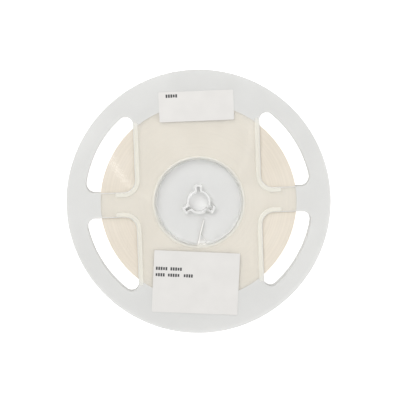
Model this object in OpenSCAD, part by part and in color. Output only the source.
// A 7-inch reel of 8 mm surface-mount carrier tape.
// Two mirrored flange mouldings meet back to back on the middle plane of the hub. They carry the wound
// tape, whose tail is anchored through a slot in the hub, and two paper labels on the front flange.
// +Z is the reel's axis, towards the labelled front. +Y runs up the labels. z = 0 is the plane the reel rests on.

/* [Flanges] */
// Outer diameter of the reel
reel_d = 178; // [170:0.5:190]
// Thickness of each flange
flange_t = 1.0; // [0.8:0.1:1.4]
// Inside width between the two flanges
flange_gap = 9.0; // [8.6:0.1:9.8]
// Rounding of the flange's outer edge
rim_round = 0.3; // [0.1:0.05:0.35]
// Height of the raised beads above the flange's face
bead_h = 0.5; // [0.3:0.05:0.8]

/* [Hub] */
// Diameter that the tape is wound on
hub_d = 60; // [56:0.5:62]
// Wall between the winding and the cup
hub_wall = 1.2; // [1:0.1:1.8]
// Floor of the cup in each half
cup_floor_t = 1.2; // [0.8:0.1:1.6]
// Draft of the cup's wall, in degrees
cup_draft = 1.5; // [0:0.5:3]
// Fillet between the cup's floor and wall
cup_fillet = 0.8; // [0.3:0.1:1.2]
// Width of the bead around the cup's mouth, past the winding diameter
rim_bead_w = 1.2; // [0.8:0.1:2]
// Fillet between the hub and the flange
hub_fillet = 0.3; // [0.1:0.1:0.5]

/* [Arbor hole] */
// Diameter of the arbor hole
arbor_d = 13; // [12.8:0.1:13.5]
// Number of keyways around the arbor hole
key_count = 3; // [1:1:3]
// Width of each keyway
key_w = 2; // [1.5:0.1:2.5]
// Radius that each keyway reaches
key_r = 10.3; // [9:0.1:11]
// Wall of the collar around the hole and its keyways
collar_wall = 1.6; // [1:0.1:2]
// Height of the collar above the cup's floor
collar_h = 3.4; // [1:0.1:4]

/* [Windows] */
// Radius of the windows' outer arc
window_r = 76.8; // [73:0.1:80]
// Width of the spokes above and below the hub
wide_spoke_w = 84.8; // [80:0.2:90]
// Width of the spokes left and right of the hub
narrow_spoke_w = 17; // [14:0.5:24]
// Corner radius of a window next to the hub
hub_corner_r = 8; // [4:0.5:12]
// Corner radius of a window at the narrow spoke's outer end
rim_corner_r = 6; // [3:0.5:8]
// Radius of a window's tip at the wide spoke's outer end
tip_corner_r = 5; // [3:0.5:7]
// Width of the bead beside a window
bead_w = 3; // [2:0.1:4]
// Land between a window's edge and its bead
bead_land = 0.3; // [0.2:0.1:1]
// Length of the bead along the narrow spoke, past the corner
bead_return = 4; // [1:0.5:10]

/* [Carrier tape] */
// Width of the tape
tape_w = 8; // [7.8:0.1:8.3]
// Thickness of the paper carrier
tape_t = 0.5; // [0.45:0.01:0.6]
// Wound turns
turns = 67; // [40:1:70]
// How far the turns' edges stray sideways
weave = 0.1; // [0:0.02:0.14]
// Groove between two turns
groove = 0.12; // [0.05:0.01:0.2]
// Direction of the tape's free end, in degrees from +X
lead_end_a = 72; // [0:1:359]
// Diameter of the sprocket holes
sprocket_d = 1.5; // [1.4:0.05:1.6]
// Pitch of the sprocket holes along the tape
sprocket_pitch = 4; // [4:1:8]
// From the tape's edge to the sprocket holes' centres
sprocket_edge = 1.75; // [1.5:0.05:2]
// Pitch of the pockets along the tape
pocket_pitch = 2; // [2:1:4]
// From the sprocket holes' centres to the pockets' centres
pocket_offset = 3.5; // [3.2:0.05:3.6]
// Size of a pocket along the tape
pocket_l = 0.7; // [0.4:0.05:0.9]
// Size of a pocket across the tape
pocket_w = 1.2; // [0.7:0.05:1.5]

/* [Cover tape and end tab] */
// Width of the clear cover tape over the pockets
cover_w = 5.3; // [4:0.1:5.6]
// Thickness of the cover tape
cover_t = 0.05; // [0.04:0.01:0.08]
// Length of the adhesive tab that holds the free end
tab_l = 16; // [10:1:24]
// Width of the tab
tab_w = 4.6; // [3:0.1:5]
// Thickness of the tab
tab_t = 0.06; // [0.05:0.01:0.1]

/* [Anchor slot] */
// Where the tail crosses the winding diameter, along X
anchor_x = -1.8; // [-4:0.1:2]
// Lean of the tail from the radius, in degrees
tail_lean = 15.4; // [5:0.1:25]
// Straight length of the tail inside the hub
tail_l = 17.5; // [8:0.5:19]
// Bend radius of the tape's middle at the slot's lip
tail_bend_r = 1.5; // [1:0.1:2.5]
// Clearance around the tail
tail_clear = 0.3; // [0.2:0.05:0.5]
// Width of the slot's mouth in the hub's wall, past the tail
mouth_w = 5.4; // [2:0.1:8]
// How far the mouth's taper reaches along the tail
mouth_l = 7; // [4:0.5:10]

/* [Labels] */
// Thickness of the labels
label_t = 0.12; // [0.08:0.01:0.2]
// Corner radius of the labels
label_round = 0.8; // [0.2:0.1:2]
// Width of the upper label
upper_label_w = 50; // [40:1:60]
// Height of the upper label
upper_label_h = 20; // [14:1:26]
// Upper label's centre along X
upper_label_x = 0.4; // [-4:0.1:4]
// Upper label's centre along Y
upper_label_y = 64.7; // [62:0.1:68]
// Turn of the upper label, in degrees
upper_label_a = 0.4; // [-3:0.1:3]
// Width of the lower label
lower_label_w = 58; // [44:1:60]
// Height of the lower label
lower_label_h = 42; // [30:1:42]
// Lower label's centre along X
lower_label_x = -3.8; // [-5:0.1:5]
// Lower label's centre along Y
lower_label_y = -54.4; // [-60:0.1:-54]
// Turn of the lower label, in degrees
lower_label_a = -4.5; // [-5:0.1:5]

/* [Hidden] */

$fn = 96;
eps = 0.01;
reel_r = reel_d / 2;
hub_r = hub_d / 2;
cup_r = hub_r - hub_wall;
arbor_r = arbor_d / 2;
half_gap = flange_gap / 2;
face_z = half_gap + flange_t;
crest_z = face_z + bead_h;
mid_z = crest_z;
bead_slope = bead_h * 0.8;

turn_pitch = tape_t + cover_t;
winding_r = hub_r + turns * turn_pitch;
tape_bottom = mid_z - tape_w / 2;
sprocket_z = tape_bottom + tape_w - sprocket_edge;
pocket_z = sprocket_z - pocket_offset;
spiral_step = 3;

// Points on an arc, from angle a0 to a1.
function arc(centre, r, a0, a1, step = 7.5) =
    let (n = max(2, ceil(abs(a1 - a0) / step)))
    [for (i = [0 : n]) let (a = a0 + (a1 - a0) * i / n) centre + r * [cos(a), sin(a)]];

function reversed(points) = [for (i = [len(points) - 1 : -1 : 0]) points[i]];

function rounded_rectangle(w, h, r) = concat(
    arc([w / 2 - r, h / 2 - r], r, 0, 90, 15),
    arc([r - w / 2, h / 2 - r], r, 90, 180, 15),
    arc([r - w / 2, r - h / 2], r, 180, 270, 15),
    arc([w / 2 - r, r - h / 2], r, 270, 360, 15));

// ---- Flange moulding, drawn as the front half with z = 0 on the reel's middle plane ----

// Half section of the moulding: cup floor, hub wall, flange and the bead around the cup's mouth.
module half_section() {
    draft_in = (crest_z - cup_floor_t) * tan(cup_draft);
    mouth_round = min(0.3, hub_wall / 3);
    polygon(concat(
        [[0, 0], [hub_r, 0]],
        arc([hub_r + hub_fillet, half_gap - hub_fillet], hub_fillet, 180, 90, 22.5),
        arc([reel_r - rim_round, half_gap + rim_round], rim_round, -90, 0, 22.5),
        arc([reel_r - rim_round, face_z - rim_round], rim_round, 0, 90, 22.5),
        [[hub_r + rim_bead_w, face_z]],
        arc([hub_r + rim_bead_w - 2 * bead_slope, crest_z - bead_slope], bead_slope, 45, 90, 15),
        arc([cup_r + mouth_round, crest_z - mouth_round], mouth_round, 90, 180, 22.5),
        arc([cup_r - draft_in - cup_fillet, cup_floor_t + cup_fillet], cup_fillet, 0, -90, 15),
        [[0, cup_floor_t]]));
}

// One window in the first quadrant: two straight edges along the spokes and an arc inside the rim.
function window_outline() =
    let (
        x0 = wide_spoke_w / 2,
        y0 = narrow_spoke_w / 2,
        rim_c = [sqrt(pow(window_r - rim_corner_r, 2) - pow(y0 + rim_corner_r, 2)), y0 + rim_corner_r],
        tip_c = [x0 + tip_corner_r, sqrt(pow(window_r - tip_corner_r, 2) - pow(x0 + tip_corner_r, 2))],
        rim_a = atan2(rim_c.y, rim_c.x),
        tip_a = atan2(tip_c.y, tip_c.x)
    )
    concat(
        arc([x0 + hub_corner_r, y0 + hub_corner_r], hub_corner_r, 180, 270),
        arc(rim_c, rim_corner_r, 270, 360 + rim_a),
        arc([0, 0], window_r, rim_a, tip_a, 2.5),
        arc(tip_c, tip_corner_r, tip_a, 180));

// Cross-section of a bead, centred on its path and rooted in the flange.
module bead_section() {
    root = flange_t / 2;
    polygon([
        [-bead_w / 2, -root], [bead_w / 2, -root], [bead_w / 2, 0],
        [bead_w / 2 - bead_slope, bead_h], [bead_slope - bead_w / 2, bead_h], [-bead_w / 2, 0]
    ]);
}

module bead_end() {
    rotate_extrude() intersection() {
        bead_section();
        translate([0, -flange_t]) square([bead_w, flange_t + 2 * bead_h]);
    }
}

module bead_run(length) {
    rotate([90, 0, 0]) mirror([0, 0, 1]) linear_extrude(length) bead_section();
}

// The bead follows a window's long straight edge and turns with its corner onto the narrow spoke.
module window_bead() {
    offset_in = bead_land + bead_w / 2;
    x = wide_spoke_w / 2 - offset_in;
    y = narrow_spoke_w / 2 - offset_in;
    corner = [wide_spoke_w / 2 + hub_corner_r, narrow_spoke_w / 2 + hub_corner_r];
    tip_y = sqrt(pow(window_r - tip_corner_r, 2) - pow(wide_spoke_w / 2 + tip_corner_r, 2));
    translate([0, 0, face_z]) {
        translate([x, corner.y, 0]) bead_run(tip_y - corner.y);
        translate([x, tip_y, 0]) bead_end();
        translate([corner.x, corner.y, 0]) rotate(180) rotate_extrude(angle = 90)
            translate([hub_corner_r + offset_in, 0]) bead_section();
        translate([corner.x, y, 0]) rotate(-90) bead_run(bead_return);
        translate([corner.x + bead_return, y, 0]) bead_end();
    }
}

module four_quadrants() {
    for (sx = [0, 1], sy = [0, 1])
        mirror([sx, 0, 0]) mirror([0, sy, 0]) children();
}

// Arbor hole with its keyways, each side and end larger by grow.
module arbor_outline(grow) {
    circle(r = arbor_r + grow);
    for (i = [0 : key_count - 1])
        rotate(90 + i * 360 / key_count)
            translate([0, -key_w / 2 - grow]) square([key_r + grow, key_w + 2 * grow]);
}

module moulding() {
    difference() {
        union() {
            rotate_extrude() half_section();
            translate([0, 0, cup_floor_t / 2])
                linear_extrude(cup_floor_t / 2 + collar_h) arbor_outline(collar_wall);
            four_quadrants() window_bead();
        }
        four_quadrants()
            translate([0, 0, half_gap - 1]) linear_extrude(flange_t + bead_h + 2) polygon(window_outline());
        translate([0, 0, -1]) linear_extrude(cup_floor_t + collar_h + 2) arbor_outline(0);
        translate([0, 0, -1]) linear_extrude(half_gap + 1 - hub_fillet) anchor_slot();
    }
}

// ---- Tail of the tape and its slot in the hub ----

tail_dir = [sin(tail_lean), cos(tail_lean)];
tail_left = [-cos(tail_lean), sin(tail_lean)];
tail_cross = [anchor_x, -sqrt(pow(hub_r, 2) - pow(anchor_x, 2))];
coil_mid_r = hub_r + tape_t / 2;

// The bend's centre lies one bend radius left of the tail and inside the first turn.
bend_base = tail_cross + tail_bend_r * tail_left;
bend_along = -(bend_base * tail_dir)
    - sqrt(pow(bend_base * tail_dir, 2) - bend_base * bend_base + pow(coil_mid_r - tail_bend_r, 2));
bend_c = bend_base + bend_along * tail_dir;
bend_start_a = atan2(bend_c.y, bend_c.x) + 360;
bend_end_a = 360 - tail_lean;
tail_start = bend_c - tail_bend_r * tail_left;
tail_end = tail_start + tail_l * tail_dir;

// The bend and the straight tail as a strip of the given thickness, run on past its end by extra.
function tail_strip(thickness, extra) = concat(
    arc(bend_c, tail_bend_r + thickness / 2, bend_start_a, bend_end_a, 10),
    [tail_end + extra * tail_dir - thickness / 2 * tail_left],
    [tail_end + extra * tail_dir + thickness / 2 * tail_left],
    arc(bend_c, tail_bend_r - thickness / 2, bend_end_a, bend_start_a, 10));

module anchor_slot() {
    polygon(tail_strip(tape_t + 2 * tail_clear, tail_clear));
    polygon([
        tail_start,
        [tail_start.x + mouth_w, -hub_r - 1],
        [tail_start.x + mouth_w, tail_start.y + hub_wall + 1],
        tail_start + mouth_l * tail_dir
    ]);
}

// ---- Wound tape ----

function turn_shift(i) = weave * sin(137.5 * i);

// Edge of the stack of turns on one side: each turn's flat edge and the groove after it.
function stack_edge(side, count) = [
    for (i = [0 : count - 1], part = [0 : 2])
        let (
            r = hub_r + i * turn_pitch,
            z = side * tape_w / 2 + turn_shift(i)
        )
        part == 0 ? [r + (i == 0 ? 0 : groove / 2), z]
        : part == 1 ? [r + turn_pitch - groove / 2, z]
        : [r + turn_pitch, side * (tape_w / 2 - weave - groove)]
];

// All turns but the last, side by side.
module inner_turns() {
    translate([0, 0, mid_z]) rotate_extrude()
        polygon(concat(stack_edge(-1, turns - 1), reversed(stack_edge(1, turns - 1))));
}

// The last turn runs inwards by one tape thickness around the reel, which leaves the step at the free end.
function spiral(offset_r, from = 0, to = 360) =
    let (n = ceil((to - from) / spiral_step))
    [
        for (i = [0 : n])
            let (a = from + (to - from) * i / n, r = winding_r - tape_t * a / 360 + offset_r)
            r * [cos(lead_end_a + a), sin(lead_end_a + a)]
    ];

module last_turn() {
    translate([0, 0, tape_bottom]) linear_extrude(tape_w) difference() {
        polygon(spiral(0));
        circle(r = winding_r - 1.5 * turn_pitch);
    }
}

// Repeats its children outside the tape, one for each pitch along the last turn.
module along_last_turn(pitch, start) {
    count = floor((2 * PI * winding_r - 2 * start) / pitch);
    for (i = [0 : count - 1]) {
        a = (start + i * pitch) / winding_r * 180 / PI;
        rotate(lead_end_a + a) translate([winding_r - tape_t * a / 360 - tape_t, 0, 0]) children();
    }
}

module carrier_tape() {
    color("wheat") difference() {
        union() {
            inner_turns();
            last_turn();
            translate([0, 0, tape_bottom]) linear_extrude(tape_w) polygon(tail_strip(tape_t, 0));
        }
        along_last_turn(sprocket_pitch, sprocket_pitch / 2)
            translate([0, 0, sprocket_z]) rotate([0, 90, 0]) cylinder(d = sprocket_d, h = 2 * tape_t);
        along_last_turn(pocket_pitch, sprocket_pitch / 2)
            translate([0, -pocket_l / 2, pocket_z - pocket_w / 2]) cube([2 * tape_t, pocket_l, pocket_w]);
    }
}

module cover_tape() {
    color("lavender", 0.5)
        translate([0, 0, pocket_z - cover_w / 2]) linear_extrude(cover_w)
            polygon(concat(spiral(cover_t), reversed(spiral(0))));
}

// The tab lies on the cover tape on both sides of the step and slopes across it.
module end_tab() {
    tab_a = tab_l / winding_r * 180 / PI;
    slope_a = tape_t * 4 / winding_r * 180 / PI;
    function tab_edge(offset_r) = concat(
        spiral(offset_r, 360 - tab_a / 2, 360 - slope_a),
        spiral(offset_r, 0, tab_a / 2));
    color("ivory", 0.6)
        translate([0, 0, pocket_z - tab_w / 2]) linear_extrude(tab_w) difference() {
            polygon(concat(tab_edge(cover_t + tab_t), reversed(tab_edge(0))));
            polygon(spiral(cover_t));
        }
}

// ---- Labels ----

module label(w, h, x, y, a) {
    color("white") translate([x, y, mid_z + face_z]) rotate(a)
        linear_extrude(label_t) polygon(rounded_rectangle(w, h, label_round));
}

// ---- Nodes ----

module front_half() {
    color("whitesmoke", 0.8) translate([0, 0, mid_z]) moulding();
}

module rear_half() {
    color("whitesmoke", 0.8) translate([0, 0, mid_z]) mirror([0, 0, 1]) moulding();
}

module upper_label() {
    label(upper_label_w, upper_label_h, upper_label_x, upper_label_y, upper_label_a);
}

module lower_label() {
    label(lower_label_w, lower_label_h, lower_label_x, lower_label_y, lower_label_a);
}

front_half();
rear_half();
carrier_tape();
cover_tape();
end_tab();
upper_label();
lower_label();
